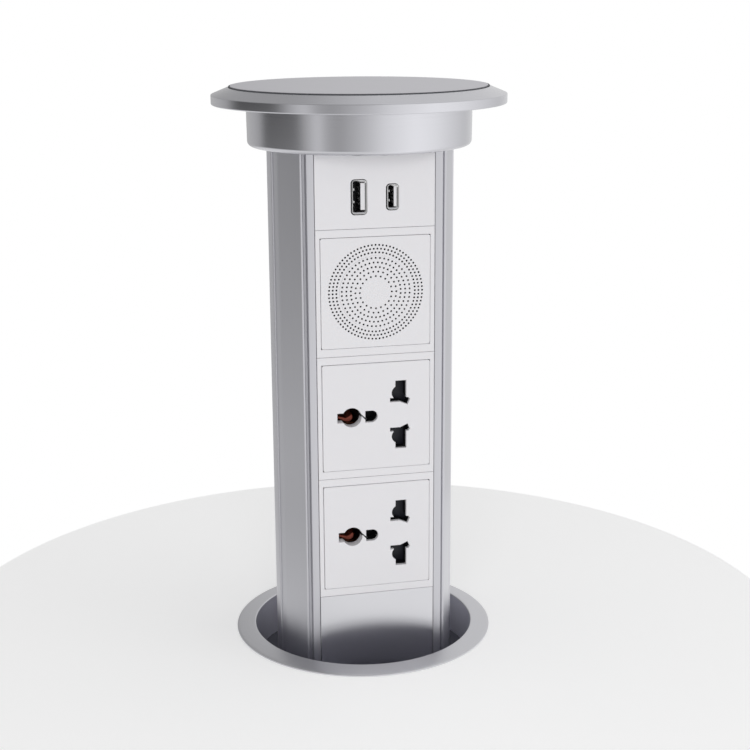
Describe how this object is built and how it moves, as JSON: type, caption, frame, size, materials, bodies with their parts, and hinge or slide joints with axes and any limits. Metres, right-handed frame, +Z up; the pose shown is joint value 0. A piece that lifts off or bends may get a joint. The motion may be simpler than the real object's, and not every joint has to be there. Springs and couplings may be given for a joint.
{
  "type": "pop up desk socket",
  "caption": "Motor-lifted desk socket: a round lid on a slim metal column with outlets, charging ports and a speaker that rises through a ring in the desk from a tube below.",
  "frame": {"origin": "centre of the desk hole, level with the desk top", "axes": "+Z up out of the desk, the outlets face -Y, +X to the right of someone who faces the outlets"},
  "size_m": [0.1204, 0.1204, 0.6698],
  "materials": {
    "silver_aluminium": "satin anodised",
    "lid_disc_aluminium": "fine brushed",
    "ring_aluminium": "satin",
    "tube_aluminium": "mill",
    "white_plastic": "satin",
    "black_plastic": "fine grain",
    "grey_plastic": "smooth",
    "black_rubber": "matt",
    "port_steel": "plated",
    "contact_brass": "bare",
    "steel": "zinc plated",
    "magnet": "sintered",
    "board": "green lacquer",
    "speaker_paper": "pressed paper"
  },
  "bodies": {
    "housing": {"trim_ring": "ring_aluminium", "flange_gasket": "black_rubber", "desk_washer": "steel", "clamp_nut": "ring_aluminium", "guide_collar": "black_plastic", "housing_tube": "tube_aluminium", "sleeve_screws": "steel", "bearing_plate": "silver_aluminium", "screw_bearing": "steel", "motor_spacers": "steel", "motor_plate": "silver_aluminium", "gearbox": "steel", "motor": "steel", "end_cap": "black_plastic", "tube_screws": "steel", "cable_gland": "black_plastic", "gland_nut": "black_plastic", "control_board": "board", "hall_sensors": "board"},
    "tower": {"lid_flange": "silver_aluminium", "lid_disc": "lid_disc_aluminium", "disc_seal": "black_rubber", "lid_seal": "black_rubber", "touch_board": "board", "lid_screws": "steel", "column": "silver_aluminium", "blank_plate": "silver_aluminium", "end_plate": "silver_aluminium", "end_plate_screws": "steel", "glide_ring": "grey_plastic", "lead_nut": "contact_brass", "sensor_magnet": "magnet", "usb_tile": "white_plastic", "usb_a_shell": "port_steel", "usb_a_tongue": "white_plastic", "usb_c_shell": "port_steel", "usb_c_tongue": "white_plastic", "usb_board": "board", "speaker_frame": "white_plastic", "speaker_grille": "white_plastic", "speaker_enclosure": "black_plastic", "speaker_basket": "black_plastic", "speaker_cone": "speaker_paper", "speaker_magnet": "magnet", "audio_board": "board", "socket_frame_upper": "white_plastic", "socket_plate_upper": "white_plastic", "socket_body_upper": "black_plastic", "contacts_upper": "contact_brass", "socket_frame_lower": "white_plastic", "socket_plate_lower": "white_plastic", "socket_body_lower": "black_plastic", "contacts_lower": "contact_brass"},
    "screw": {"lead_screw": "steel", "shaft_coupler": "steel", "motor_shaft": "steel"},
    "shutter_upper": {"shutter_upper": "grey_plastic"},
    "shutter_lower": {"shutter_lower": "grey_plastic"}
  },
  "joints": [
    {"name": "lift", "type": "slide", "parent": "housing", "child": "tower", "axis": [0, 0, 1], "range_m": [-0.22597, 0]},
    {"name": "lead_screw_turn", "type": "hinge", "parent": "housing", "child": "screw", "pos_m": [0, 0.017, -0.3], "axis": [0, 0, 1], "range_deg": [0, 10170]},
    {"name": "shutter_upper_slide", "type": "slide", "parent": "tower", "child": "shutter_upper", "axis": [-1, 0, 0], "range_m": [0, 0.0088], "stiffness_N_per_m": 60, "springref_m": -0.003},
    {"name": "shutter_lower_slide", "type": "slide", "parent": "tower", "child": "shutter_lower", "axis": [-1, 0, 0], "range_m": [0, 0.0088], "stiffness_N_per_m": 60, "springref_m": -0.003}
  ],
  "couplings": [
    {"joint": "lead_screw_turn", "follows": "lift", "rad_per_m": -785.4}
  ]
}
